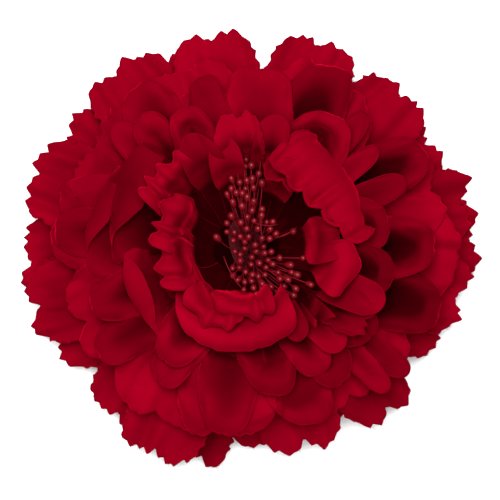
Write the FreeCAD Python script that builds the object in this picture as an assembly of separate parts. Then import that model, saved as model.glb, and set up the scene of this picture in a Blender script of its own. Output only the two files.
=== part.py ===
"""Fabric flower hair clip: stacked petal layers on a plastic peg, felt backing and a sprung alligator clip.

Frame: millimetres, +Z out of the face of the flower, +X along the clip from jaw tip to lever, origin under
the middle of the flower at the level of the surface that it lies on.
"""

import FreeCAD, Part

import math
import os
import random

from FreeCAD import Vector

# ---- driving dimensions, millimetres and degrees ----
FLOWER_WIDTH = 120.0  # along X, tip to tip of the lowest petals
FLOWER_HEIGHT = 114.0  # along Y
FABRIC = 0.7  # room that one layer of petal fabric takes up
LAYER_PITCH = 1.3  # from one layer to the next on the peg
LAYER_FLAT_RADIUS = 9.5  # flat middle of each layer, just wider than the base's flange
CUP_FLAT_RADIUS = 8.6  # flat middle of each inner cup, just wider than the stamens' holder

PEG_RADIUS = 2.5
PEG_HOLE_RADIUS = 2.6
SPACER_RADIUS = 5.0
FLANGE_RADIUS = 9.0
FLANGE_THICKNESS = 1.6

FELT_RADIUS = 19.0
FELT_THICKNESS = 1.5
GLUE_THICKNESS = 0.6

SHEET = 0.8  # stamped steel of the clip's arms
ARM_GAP = 4.8  # between the two arms' facing sides when the clip is shut
ARM_WIDTH = 8.8
TIP_WIDTH = 6.4
JAW_TIP_X = -22.0
PIVOT_X = 9.0
HANDLE_END_X = 24.0
LEVER_END_X = 28.0
LEVER_SLOPE = 21.0  # how far the lever drops away from the fixed arm
LEVER_BEND_X = PIVOT_X + 3.0
EAR_RADIUS = 2.0
PIN_RADIUS = 0.9
PIN_HOLE_RADIUS = 0.95
PIN_HEAD_RADIUS = 1.5
PIN_HEAD = 0.6
TOOTH_PITCH = 2.0
TOOTH_DEPTH = 1.0
SPRING_WIRE = 0.7
SPRING_RADIUS = 1.85  # to the middle of the wire
SPRING_PITCH = 0.85
SPRING_TURNS = 3
SPRING_LEG = 8.0
POINTS_PER_TURN = 12

BEAD_RADIUS = 0.9
FILAMENT_RADIUS = 0.2

# ---- levels that follow from them: the end of the lever touches the surface at z = 0 ----
LEVER_ANGLE = math.radians(LEVER_SLOPE)
LEVER_DROP = (LEVER_END_X - LEVER_BEND_X) * math.tan(LEVER_ANGLE)
LOWER_ARM_TOP = LEVER_DROP + SHEET * math.cos(LEVER_ANGLE)
TOP_ARM_UNDERSIDE = LOWER_ARM_TOP + ARM_GAP
PIVOT_Z = (TOP_ARM_UNDERSIDE + LOWER_ARM_TOP) / 2
FELT_BOTTOM = TOP_ARM_UNDERSIDE + SHEET
FELT_TOP = FELT_BOTTOM + FELT_THICKNESS
FIRST_LAYER_Z = FELT_TOP + GLUE_THICKNESS + FLANGE_THICKNESS  # underside of the lowest layer at the peg

# Each layer: name, petals, turn in degrees, reach along X, reach along Y, height of the rim, depth of the
# cut between petals as a share of the reach. The lowest layer droops to the surface; the last ones are cups.
LAYERS = [
    ("petal_layer_1", 8, 0.0, FLOWER_WIDTH / 2, FLOWER_HEIGHT / 2, 0.0, 0.16),
    ("petal_layer_2", 8, 22.5, 58.0, 55.5, 7.5, 0.16),
    ("petal_layer_3", 8, 10.0, 54.0, 52.0, 14.5, 0.18),
    ("petal_layer_4", 7, 30.0, 47.5, 46.0, 24.0, 0.18),
    ("petal_layer_5", 7, 5.0, 42.0, 41.0, 31.5, 0.20),
    ("petal_layer_6", 6, 30.0, 35.5, 35.0, 37.5, 0.20),
]
# The steep inner cups: name, petals, turn, rim radius, height of the rim, depth of the notches.
CUPS = [
    ("petal_layer_7", 6, 0.0, 30.0, 44.5, 9.0),
    ("petal_layer_8", 6, 30.0, 25.0, 46.0, 9.0),
]
NOTCH_HALF_WIDTH = 3.4
LAYER_COUNT = len(LAYERS) + len(CUPS)
HOLDER_Z = FIRST_LAYER_Z + LAYER_COUNT * LAYER_PITCH - (LAYER_PITCH - FABRIC)

Z = Vector(0, 0, 1)
OUT = "parts"


def save(name, shape):
    """Writes one sub-part, and says so if it isn't sound."""
    if not shape.isValid() or shape.Volume <= 0:
        print("UNSOUND", name)
    shape.exportStep(os.path.join(OUT, name + ".step"))
    print(f"{name}: {len(shape.Solids)} solid(s), {shape.Volume:.1f} mm3")


def polar(radius, angle):
    """A point in the XY plane, angle in degrees."""
    a = math.radians(angle)
    return Vector(radius * math.cos(a), radius * math.sin(a), 0)


def lifted(shape, z):
    moved = shape.copy()
    moved.translate(Vector(0, 0, z))
    return moved


def ring(outer, inner, low, high):
    """A flat round washer, or a disc if inner is 0."""
    made = Part.makeCylinder(outer, high - low, Vector(0, 0, low))
    if inner > 0:
        made = made.cut(Part.makeCylinder(inner, high - low, Vector(0, 0, low)))
    return made


# ---- petals ----
def shell_of_revolution(z, flat_radius, reach, rim_z):
    """A fabric shell: flat in the middle, then one arc, level where it starts, out to the rim."""
    run, rise = reach - flat_radius, rim_z - z
    bend = (run * run + rise * rise) / (2 * rise)
    centre = Vector(flat_radius, 0, z + bend)
    sweep = math.atan2(run, bend - rise) if bend > 0 else -math.atan2(run, rise - bend)
    side = 1 if bend > 0 else -1

    def at(radius, share):
        a = abs(sweep) * share
        return centre + Vector(radius * math.sin(a), 0, -side * radius * math.cos(a))

    under, over = abs(bend), abs(bend) - side * FABRIC
    edges = [
        Part.LineSegment(Vector(PEG_HOLE_RADIUS, 0, z), at(under, 0)),
        Part.Arc(at(under, 0), at(under, 0.5), at(under, 1)),
        Part.LineSegment(at(under, 1), at(over, 1)),
        Part.Arc(at(over, 1), at(over, 0.5), at(over, 0)),
        Part.LineSegment(at(over, 0), Vector(PEG_HOLE_RADIUS, 0, z + FABRIC)),
        Part.LineSegment(Vector(PEG_HOLE_RADIUS, 0, z + FABRIC), Vector(PEG_HOLE_RADIUS, 0, z)),
    ]
    face = Part.Face(Part.Wire([e.toShape() for e in edges]))
    return face.revolve(Vector(0, 0, 0), Z, 360)


def petal_outline(petals, turn, reach_x, reach_y, cut_share):
    """The plan of a layer: one arc for each petal's tip, meeting at the cuts between them."""
    step = 360.0 / petals
    margin = 1.0005  # keeps the arcs' ends apart from the shell's own edge

    def reach(angle):
        c, s = math.cos(math.radians(angle)), math.sin(math.radians(angle))
        return 1 / math.hypot(c / reach_x, s / reach_y)

    arcs = []
    for i in range(petals):
        a = turn + i * step
        start = polar(reach(a - step / 2) * (1 - cut_share), a - step / 2)
        tip = polar(reach(a) * margin, a)
        end = polar(reach(a + step / 2) * (1 - cut_share), a + step / 2)
        arcs.append(Part.Arc(start, tip, end).toShape())
    return Part.Face(Part.Wire(arcs))


def petal_layer(index, petals, turn, reach_x, reach_y, rim_z, cut_share):
    z = FIRST_LAYER_Z + index * LAYER_PITCH
    longest = max(reach_x, reach_y)
    shell = shell_of_revolution(z, LAYER_FLAT_RADIUS, longest, rim_z)
    plan = petal_outline(petals, turn, reach_x, reach_y, cut_share)
    return shell.common(lifted(plan, -FLOWER_HEIGHT / 2).extrude(Z * (2 * FLOWER_HEIGHT)))


def petal_cup(index, petals, turn, reach, rim_z, notch_depth):
    """A steep layer, with V-shaped notches between its petals."""
    z = FIRST_LAYER_Z + index * LAYER_PITCH
    cup = shell_of_revolution(z, CUP_FLAT_RADIUS, reach, rim_z)
    top = rim_z + FABRIC * 2
    for i in range(petals):
        a = turn + (i + 0.5) * 360.0 / petals
        corners = [
            Vector(CUP_FLAT_RADIUS, 0, rim_z - notch_depth),
            Vector(CUP_FLAT_RADIUS, NOTCH_HALF_WIDTH, top),
            Vector(CUP_FLAT_RADIUS, -NOTCH_HALF_WIDTH, top),
        ]
        notch = Part.Face(Part.makePolygon(corners + corners[:1])).extrude(Vector(reach, 0, 0))
        notch.rotate(Vector(0, 0, 0), Z, a)
        cup = cup.cut(notch)
    return cup


def make_petals():
    for index, (name, *sizes) in enumerate(LAYERS):
        save(name, petal_layer(index, *sizes))
    for index, (name, *sizes) in enumerate(CUPS):
        save(name, petal_cup(index + len(LAYERS), *sizes))


def make_spacers():
    """A plastic collar between each pair of layers."""
    for index in range(LAYER_COUNT - 1):
        low = FIRST_LAYER_Z + index * LAYER_PITCH + FABRIC
        high = FIRST_LAYER_Z + (index + 1) * LAYER_PITCH
        save(f"spacer_{index + 1}", ring(SPACER_RADIUS, PEG_RADIUS, low, high))


# ---- the middle of the flower ----
HOLDER_HALF_LONG = 8.2
HOLDER_HALF_WIDE = 4.2
HOLDER_THICKNESS = 2.6
CLUSTER_TURN = -69.0  # the stamens stand in a row that runs this way
CLUSTER_CENTRE = Vector(5.0, 5.0, 0)
ROOTS_HALF_LONG = 7.0  # the oval that the threads' roots fill
ROOTS_HALF_WIDE = 3.0
ROOT_PITCH = 0.95
TOP_SPREAD = 2.5  # how far the beads stand apart, against their threads' roots
BEAD_HEIGHT = 38.5
BEAD_HEIGHT_SCATTER = 0.3
CLUSTER_DOME = 0.03  # how much lower the outer beads are, per square millimetre from the middle


def root_rows():
    """Places along and across the cluster: staggered rows inside the oval."""
    long_rows = int(ROOTS_HALF_LONG // ROOT_PITCH)
    wide_rows = int(ROOTS_HALF_WIDE // ROOT_PITCH)
    for i in range(-long_rows, long_rows + 1):
        for j in range(-wide_rows, wide_rows + 1):
            along = i * ROOT_PITCH
            across = (j + 0.5 * (i % 2)) * ROOT_PITCH
            if math.hypot(along / ROOTS_HALF_LONG, across / ROOTS_HALF_WIDE) <= 1:
                yield along, across


def stamen_lines():
    """Where each thread starts on the holder, and where its bead is."""
    scatter = random.Random(11)
    turn = math.radians(CLUSTER_TURN)
    lines = []
    for along, across in root_rows():
        x = along * math.cos(turn) - across * math.sin(turn)
        y = along * math.sin(turn) + across * math.cos(turn)
        root = Vector(x, y, HOLDER_Z + HOLDER_THICKNESS)
        height = BEAD_HEIGHT + scatter.uniform(-1, 1) * BEAD_HEIGHT_SCATTER - CLUSTER_DOME * (x * x + y * y)
        lines.append((root, Vector(x * TOP_SPREAD, y * TOP_SPREAD, height) + CLUSTER_CENTRE))
    return lines


def make_stamens():
    threads, beads = [], []
    for root, top in stamen_lines():
        along = top - root
        length = along.Length - BEAD_RADIUS
        threads.append(Part.makeCylinder(FILAMENT_RADIUS, length, root, along))
        beads.append(Part.makeSphere(BEAD_RADIUS, top))
    save("stamen_threads", Part.makeCompound(threads))
    save("stamen_beads", Part.makeCompound(beads))


def make_holder():
    """An oval puck pressed on the end of the peg, which clamps the stamens' threads."""
    oval = Part.Ellipse(Vector(0, 0, 0), HOLDER_HALF_LONG, HOLDER_HALF_WIDE).toShape()
    puck = Part.Face(Part.Wire([oval])).extrude(Z * HOLDER_THICKNESS)
    puck.rotate(Vector(0, 0, 0), Z, CLUSTER_TURN)
    socket = Part.makeCylinder(PEG_RADIUS, HOLDER_THICKNESS / 2)
    save("stamen_holder", lifted(puck.cut(socket), HOLDER_Z))


def make_calyx():
    """The moulded base: a flange under the petals and the peg that they are threaded on."""
    flange = ring(FLANGE_RADIUS, 0, FELT_TOP + GLUE_THICKNESS, FIRST_LAYER_Z)
    peg = ring(PEG_RADIUS, 0, FIRST_LAYER_Z - FLANGE_THICKNESS / 2, HOLDER_Z + HOLDER_THICKNESS / 2)
    save("calyx_base", flange.fuse(peg).removeSplitter())


# ---- the back ----
def make_backing():
    save("glue_pad", ring(FLANGE_RADIUS + 2.0, 0, FELT_TOP, FELT_TOP + GLUE_THICKNESS))
    save("felt_backing", ring(FELT_RADIUS, 0, FELT_BOTTOM, FELT_TOP))


PATCH_FROM_X = -1.0
PATCH_TO_X = 5.5
PATCH_HALF_WIDTH = 11.0
PATCH_THICKNESS = 1.0
PATCH_ROOM = 0.15  # the felt strip stands this far off the arm's edges


def make_patch():
    """A felt strip that goes under the fixed arm and is glued to the backing on both sides of it."""
    inner_y = ARM_WIDTH / 2 + PATCH_ROOM
    outer_y = inner_y + PATCH_THICKNESS
    corners = [
        (-PATCH_HALF_WIDTH, FELT_BOTTOM),
        (-inner_y, FELT_BOTTOM),
        (-inner_y, TOP_ARM_UNDERSIDE),
        (inner_y, TOP_ARM_UNDERSIDE),
        (inner_y, FELT_BOTTOM),
        (PATCH_HALF_WIDTH, FELT_BOTTOM),
        (PATCH_HALF_WIDTH, FELT_BOTTOM - PATCH_THICKNESS),
        (outer_y, FELT_BOTTOM - PATCH_THICKNESS),
        (outer_y, TOP_ARM_UNDERSIDE - PATCH_THICKNESS),
        (-outer_y, TOP_ARM_UNDERSIDE - PATCH_THICKNESS),
        (-outer_y, FELT_BOTTOM - PATCH_THICKNESS),
        (-PATCH_HALF_WIDTH, FELT_BOTTOM - PATCH_THICKNESS),
    ]
    points = [Vector(PATCH_FROM_X, y, z) for y, z in corners]
    face = Part.Face(Part.makePolygon(points + points[:1]))
    save("felt_patch", face.extrude(Vector(PATCH_TO_X - PATCH_FROM_X, 0, 0)))


# ---- the clip ----
TEETH_FROM_X = JAW_TIP_X + 1.0
TEETH = 8
FLANGE_HALF_Y = TIP_WIDTH / 2  # outside of the toothed edges, all along the jaw
TOP_EAR_Y = ARM_WIDTH / 2  # outside of the fixed arm's ears
EAR_CLEARANCE = 0.15
LOWER_EAR_Y = TOP_EAR_Y - SHEET - EAR_CLEARANCE
TOOTH_GAP = 0.3  # left between the two rows of teeth when the clip is shut


def strip(from_x, to_x, half_from, half_to, z):
    """A flat tapered strip of sheet, rounded off at the end with the lower x."""
    round_x = from_x + half_from
    near_right, near_left = Vector(round_x, -half_from, z), Vector(round_x, half_from, z)
    far_right, far_left = Vector(to_x, -half_to, z), Vector(to_x, half_to, z)
    edges = [
        Part.makeLine(near_right, far_right),
        Part.makeLine(far_right, far_left),
        Part.makeLine(far_left, near_left),
        Part.Arc(near_left, Vector(from_x, 0, z), near_right).toShape(),
    ]
    return Part.Face(Part.Wire(edges)).extrude(Z * SHEET)


def toothed_edge(sheet_z, way, phase):
    """One folded edge of a jaw: from the sheet towards the other jaw (way 1 up, -1 down), with sharp teeth."""
    middle = PIVOT_Z - way * TOOTH_GAP / 2
    root, crest = middle - way * TOOTH_DEPTH / 2, middle + way * TOOTH_DEPTH / 2
    first = TEETH_FROM_X + TIP_WIDTH / 2
    points = [Vector(first, 0, sheet_z)]
    for i in range(TEETH):
        x = first + i * TOOTH_PITCH
        low, high = Vector(x, 0, root), Vector(x + TOOTH_PITCH / 2, 0, crest)
        points += [low, high] if phase == 0 else [Vector(low.x, 0, crest), Vector(high.x, 0, root)]
    end = first + TEETH * TOOTH_PITCH
    points += [Vector(end, 0, root if phase == 0 else crest), Vector(end, 0, sheet_z)]
    face = Part.Face(Part.makePolygon(points + points[:1]))
    return face.extrude(Vector(0, SHEET, 0))


def both_sides(shape, outer_y):
    """The shape on the +Y side, its outside at outer_y, and the same shape on the -Y side."""
    plus, minus = shape.copy(), shape.copy()
    plus.translate(Vector(0, outer_y - SHEET, 0))
    minus.translate(Vector(0, -outer_y, 0))
    return [plus, minus]


def ear(sheet_z):
    """A lug with a pin hole, standing on the sheet at the pivot."""
    low, high = min(sheet_z, PIVOT_Z), max(sheet_z, PIVOT_Z)
    foot = Part.makeBox(2 * EAR_RADIUS, SHEET, high - low, Vector(PIVOT_X - EAR_RADIUS, 0, low))
    eye = Part.makeCylinder(EAR_RADIUS, SHEET, Vector(PIVOT_X, 0, PIVOT_Z), Vector(0, 1, 0))
    hole = Part.makeCylinder(PIN_HOLE_RADIUS, SHEET, Vector(PIVOT_X, 0, PIVOT_Z), Vector(0, 1, 0))
    return foot.fuse(eye).cut(hole)


def united(pieces):
    whole = pieces[0]
    for piece in pieces[1:]:
        whole = whole.fuse(piece)
    return whole.removeSplitter()


def make_top_arm():
    """The arm that is glued to the felt: a flat strip with a round handle, teeth and ears folded down."""
    jaw = strip(JAW_TIP_X, PIVOT_X, TIP_WIDTH / 2, ARM_WIDTH / 2, TOP_ARM_UNDERSIDE)
    handle = strip(-HANDLE_END_X, -PIVOT_X, ARM_WIDTH / 2, ARM_WIDTH / 2, TOP_ARM_UNDERSIDE)
    handle.rotate(Vector(0, 0, 0), Z, 180)
    pieces = [jaw, handle]
    pieces += both_sides(toothed_edge(TOP_ARM_UNDERSIDE + SHEET / 2, -1, 0), FLANGE_HALF_Y)
    pieces += both_sides(ear(TOP_ARM_UNDERSIDE + SHEET / 2), TOP_EAR_Y)
    save("clip_top_arm", united(pieces))


def make_lower_arm():
    """The arm that opens: a jaw with teeth folded up, ears inside the other arm's, and a sloping lever."""
    low = LOWER_ARM_TOP - SHEET
    half = LOWER_EAR_Y
    jaw = strip(JAW_TIP_X, LEVER_BEND_X, TIP_WIDTH / 2, half, low)
    lever_length = (LEVER_END_X - LEVER_BEND_X) / math.cos(LEVER_ANGLE)
    lever = strip(-LEVER_BEND_X - lever_length, -LEVER_BEND_X, half, half, low)
    lever.rotate(Vector(0, 0, 0), Z, 180)
    lever.rotate(Vector(LEVER_BEND_X, 0, LOWER_ARM_TOP), Vector(0, 1, 0), LEVER_SLOPE)
    knee = Part.makeCylinder(SHEET, 2 * half, Vector(LEVER_BEND_X, -half, LOWER_ARM_TOP), Vector(0, 1, 0))
    knee = knee.common(Part.makeBox(2 * SHEET, 2 * half, SHEET, Vector(LEVER_BEND_X - SHEET, -half, low)))
    pieces = [jaw, lever, knee]
    pieces += both_sides(toothed_edge(low + SHEET / 2, 1, 1), FLANGE_HALF_Y)
    pieces += both_sides(ear(low + SHEET / 2), LOWER_EAR_Y)
    save("clip_lower_arm", united(pieces))


def make_pin():
    """The rivet that both arms turn on, with a head outside each ear."""
    half = TOP_EAR_Y
    along = Vector(0, 1, 0)
    start = Vector(PIVOT_X, -half - PIN_HEAD, PIVOT_Z)
    shaft = Part.makeCylinder(PIN_RADIUS, 2 * (half + PIN_HEAD), start, along)
    heads = [
        Part.makeCylinder(PIN_HEAD_RADIUS, PIN_HEAD, start, along),
        Part.makeCylinder(PIN_HEAD_RADIUS, PIN_HEAD, Vector(PIVOT_X, half, PIVOT_Z), along),
    ]
    save("clip_pin", united([shaft, *heads]))


def spring_route():
    """Points down the middle of the spring's wire: along the fixed arm, round the pin, out along the lever."""
    turns = SPRING_TURNS + 0.5  # the extra half turn takes the wire from the coil's top to its bottom
    width = turns * SPRING_PITCH
    steps = round(turns * POINTS_PER_TURN)
    coil = []
    for k in range(steps + 1):
        a = 2 * math.pi * turns * k / steps
        y = -width / 2 + width * k / steps
        coil.append(Vector(PIVOT_X - SPRING_RADIUS * math.sin(a), y, PIVOT_Z + SPRING_RADIUS * math.cos(a)))
    knee = coil[-1] + Vector(LEVER_BEND_X - PIVOT_X, 0, 0)
    down = Vector(math.cos(LEVER_ANGLE), 0, -math.sin(LEVER_ANGLE))
    fixed_leg = [coil[0] + Vector(SPRING_LEG * share, 0, 0) for share in (1, 0.75, 0.5, 0.25)]
    lever_leg = [(coil[-1] + knee) * 0.5, knee]
    lever_leg += [knee + down * (SPRING_LEG * share) for share in (0.25, 0.5, 0.75)]
    return fixed_leg + coil + lever_leg


def make_spring():
    """A torsion spring round the pin: the coil's two ends run on as legs that push the handles apart."""
    route = Part.BSplineCurve()
    route.interpolate(spring_route())
    edge = route.toShape()
    start, way = edge.valueAt(edge.FirstParameter), edge.tangentAt(edge.FirstParameter)
    circle = Part.Wire([Part.makeCircle(SPRING_WIRE / 2, start, way)])
    save("clip_spring", Part.Wire([edge]).makePipeShell([circle], True, False))


def main():
    os.makedirs(OUT, exist_ok=True)
    make_petals()
    make_spacers()
    make_calyx()
    make_holder()
    make_stamens()
    make_backing()
    make_patch()
    make_top_arm()
    make_lower_arm()
    make_pin()
    make_spring()


main()
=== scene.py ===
"""Looks of a fabric flower hair clip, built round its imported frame. Lengths are in millimetres until MM."""

import math
import random

import bpy
import numpy as np
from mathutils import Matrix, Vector


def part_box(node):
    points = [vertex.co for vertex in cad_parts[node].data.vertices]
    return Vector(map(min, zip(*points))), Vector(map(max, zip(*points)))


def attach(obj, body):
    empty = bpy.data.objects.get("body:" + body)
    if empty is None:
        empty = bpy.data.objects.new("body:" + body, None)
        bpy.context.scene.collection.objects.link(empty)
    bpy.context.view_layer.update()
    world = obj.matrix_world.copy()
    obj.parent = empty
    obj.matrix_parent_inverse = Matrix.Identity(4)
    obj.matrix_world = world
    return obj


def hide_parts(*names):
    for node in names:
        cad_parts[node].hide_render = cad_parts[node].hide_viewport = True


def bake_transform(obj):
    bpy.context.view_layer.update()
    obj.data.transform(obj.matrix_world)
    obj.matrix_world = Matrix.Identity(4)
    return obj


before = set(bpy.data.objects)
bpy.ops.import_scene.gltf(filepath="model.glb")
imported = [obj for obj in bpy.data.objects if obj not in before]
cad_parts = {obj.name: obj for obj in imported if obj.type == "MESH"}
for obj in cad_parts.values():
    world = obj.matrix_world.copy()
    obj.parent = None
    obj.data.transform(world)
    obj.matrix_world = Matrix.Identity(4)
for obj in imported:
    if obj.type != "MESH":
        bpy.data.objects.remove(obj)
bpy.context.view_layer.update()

MM = 0.001
BODY = "flower"
FABRIC = 0.26  # thickness of the petal fabric
TOOTH_PITCH = 3.3  # pinked edge, tip to tip
TOOTH_DEPTH = 1.6
STACK_CELL = 0.5  # grid on which petals are laid over each other
STACK_HALF = 75.0
ROW_LIFT_SHARE = 0.8  # this share of a petal's row is cleared by raising the whole row
STACK_GAP = 0.45  # a petal stays this far above what it lies on


def node_box(name):
    """A CAD node's lowest and highest corners in millimetres."""
    low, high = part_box(name)
    return np.array(low) / MM, np.array(high) / MM


# ---- mesh helpers ----
def mesh_object(name, points, faces, material):
    """A smooth mesh object from points in millimetres and a list of face arrays, one row a face."""
    mesh = bpy.data.meshes.new(name)
    points = np.asarray(points, np.float32)
    corners = np.concatenate([f.ravel() for f in faces]).astype(np.int32)
    sizes = np.concatenate([np.full(len(f), f.shape[1]) for f in faces]).astype(np.int32)
    starts = (np.cumsum(sizes) - sizes).astype(np.int32)
    mesh.vertices.add(len(points))
    mesh.vertices.foreach_set("co", (points * MM).astype(np.float32).ravel())
    mesh.loops.add(len(corners))
    mesh.loops.foreach_set("vertex_index", corners)
    mesh.polygons.add(len(sizes))
    mesh.polygons.foreach_set("loop_start", starts)
    mesh.polygons.foreach_set("loop_total", sizes)
    mesh.polygons.foreach_set("use_smooth", np.ones(len(sizes), bool))
    mesh.update(calc_edges=True)
    made = bpy.data.objects.new(name, mesh)
    bpy.context.scene.collection.objects.link(made)
    for each in material if isinstance(material, tuple) else (material,):
        made.data.materials.append(each)
    return made


def grid_faces(rows, columns, start=0, closed=False):
    """Quads of a grid of points stored row by row. A closed grid joins its last column to its first."""
    index = np.arange(rows * columns).reshape(rows, columns) + start
    if closed:
        index = np.concatenate([index, index[:, :1]], axis=1)
    quads = [index[:-1, :-1], index[:-1, 1:], index[1:, 1:], index[1:, :-1]]
    return np.stack(quads, -1).reshape(-1, 4)


def tube_faces(rings, sides, start=0):
    """Faces of a closed tube of rings, with its two ends."""
    first = np.arange(start, start + sides)
    ends = np.stack([first[::-1], first + (rings - 1) * sides])
    return [grid_faces(rings, sides, start, closed=True), ends]


def smoothstep(low, high, x):
    share = np.clip((x - low) / (high - low), 0.0, 1.0)
    return share * share * (3 - 2 * share)


def box_blur(field):
    """Each cell's mean with its eight neighbours."""
    padded = np.pad(field, 1, mode="edge")
    rows, columns = field.shape
    total = sum(padded[i:i + rows, j:j + columns] for i in range(3) for j in range(3))
    return total / 9


# ---- the stack: how high the petals lie over each point of the plan ----
class Stack:
    def __init__(self):
        self.size = int(2 * STACK_HALF / STACK_CELL)
        self.top = np.full((self.size, self.size), -1.0)

    def cells(self, points):
        at = ((points[..., :2] + STACK_HALF) / STACK_CELL).astype(int)
        return np.clip(at, 0, self.size - 1)

    def lift_over(self, points, free):
        """Raises a petal over what lies under it: row by row so its form stays, then where it still touches."""
        at = self.cells(points)
        wanted = self.top[at[..., 0], at[..., 1]] + STACK_GAP - points[..., 2]
        row = np.quantile(np.maximum(wanted, 0) * free, ROW_LIFT_SHARE, axis=1)
        for _ in range(6):
            row = np.maximum(row, np.convolve(np.pad(row, 1, mode="edge"), [0.25, 0.5, 0.25], "valid"))
        for _ in range(8):
            row = np.convolve(np.pad(row, 1, mode="edge"), [0.25, 0.5, 0.25], "valid")
        points[..., 2] += row[:, None] * free
        lift = np.maximum(wanted - row[:, None] * free, 0) * free
        for _ in range(6):
            lift = np.maximum(lift, box_blur(lift)) * free
        points[..., 2] += box_blur(box_blur(lift))

    def add(self, points):
        fine = points
        for axis in (0, 1):
            fine = np.concatenate([fine, (fine + np.roll(fine, -1, axis)) / 2], axis=axis)
            keep = fine.shape[axis] - 1
            fine = np.take(fine, range(keep), axis=axis)
        at = self.cells(fine)
        np.maximum.at(self.top, (at[..., 0].ravel(), at[..., 1].ravel()), fine[..., 2].ravel())


# ---- petals ----
PETAL = dict(
    az=0.0,  # degrees round the flower, from +X
    width=30.0,  # across the widest part
    path=((8, 0), (30, 4), (45, 2), (56, -10)),  # radius and height over the root, down the middle
    cup=(10, 10),  # degrees that the side edges turn up, at the root and at the tip
    widest=0.62,  # where along the petal it is widest
    round=0.45,  # how round its end is: 1 is a half circle
    slant=0.0,  # how much longer one side is than the other, for each millimetre across
    lobes=2,
    lobe_depth=2.8,
    teeth=1.0,
    flute=0.5,  # height of the folds that run down the petal
    flute_pitch=16.0,  # distance from one fold to the next
    wobble=1.0,  # height of its soft irregular dents
    ruffle=0.5,  # height of the waves along the rim
    ruffle_pitch=9.0,
    ruffle_depth=7.0,  # how far the waves reach in from the rim
    lip=0.0,  # how far the rim rolls back down
    lip_width=4.0,
    lumps=0.0,  # how unevenly it rolls: 0 is even
    bowl=0.0,  # how deep the petal is pressed in behind the rim
    bowl_width=8.0,
    tilt=4.0,  # degrees that one side stands over the other
    sweep=0.0,  # sideways bend of the middle line, millimetres at the tip
    shift=(0.0, 0.0),  # offset in plan
    wrap=None,  # bends the petal in plan round an upright axis: the axis's radius, and the bend's radius
    rest=True,  # lies on the petals under it
    fade=1.0,  # how much painted shade darkens the petal away from its rim
    fade_depth=22.0,  # distance from the rim to the darkest part
    tone=0.83,  # how strongly the petal took the dye; tones set above or below this on single petals paint the light or shade those petals catch
)
DISC_RADII = (2.7, 5.0, 7.0, 8.6)  # rings of the disc that a layer's petals grow from
DISC_SIDES = 48
PETAL_START = DISC_RADII[-1] - 1.0  # petals start just inside the disc's edge
PETAL_ROWS = 48
PETAL_COLUMNS = 74
ROOT_WIDTH = 6.0
DYE_SPREAD = (0.88, 1.12)  # how the dye varies from one petal to another
CORNER_ROUNDING = 0.07  # share of a petal's length over which a corner of its path is rounded


def even_points(points, count):
    """The same line, as points spaced evenly along it, and the distance run at each."""
    run = np.concatenate([[0], np.cumsum(np.linalg.norm(np.diff(points, axis=0), axis=1))])
    at = np.linspace(0, run[-1], count)
    return np.stack([np.interp(at, run, points[:, k]) for k in (0, 1)], -1), at


def curve_through(path, count=200):
    """Points down a line through these corners with each corner rounded off, and the distance run."""
    points, _ = even_points(np.array(path, float), count)
    reach = int(count * CORNER_ROUNDING)
    for _ in range(2):
        ends = 2 * points[:1] - points[reach:0:-1], 2 * points[-1:] - points[-2:-2 - reach:-1]
        padded = np.concatenate([ends[0], points, ends[1]])
        sums = np.cumsum(np.concatenate([np.zeros((1, 2)), padded]), axis=0)
        points = (sums[2 * reach + 1:] - sums[:-2 * reach - 1]) / (2 * reach + 1)
    return even_points(points, count)


def tooth_line(draw, reach):
    """A function of the distance along a rim: how deep the pinked edge is cut there."""
    places, depths = [-reach], [0.0]
    while places[-1] < reach:
        pitch = TOOTH_PITCH * draw.uniform(0.75, 1.2)
        places += [places[-1] + pitch * draw.uniform(0.35, 0.65), places[-1] + pitch]
        depths += [TOOTH_DEPTH * draw.uniform(0.6, 1.3), TOOTH_DEPTH * draw.uniform(0.0, 0.25)]
    return lambda along: np.interp(along, places, depths)


def soft_dents(s, across, draw):
    """A smooth uneven height between about -1 and 1 over the cut, from a few crossing waves."""
    height = 0 * s * across
    for _ in range(4):
        turn, wave = draw.uniform(0, math.pi), draw.uniform(13, 34)
        along = s * math.cos(turn) + across * math.sin(turn)
        height = height + 0.4 * np.sin(2 * math.pi * along / wave + draw.uniform(0, 2 * math.pi))
    return height


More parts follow.
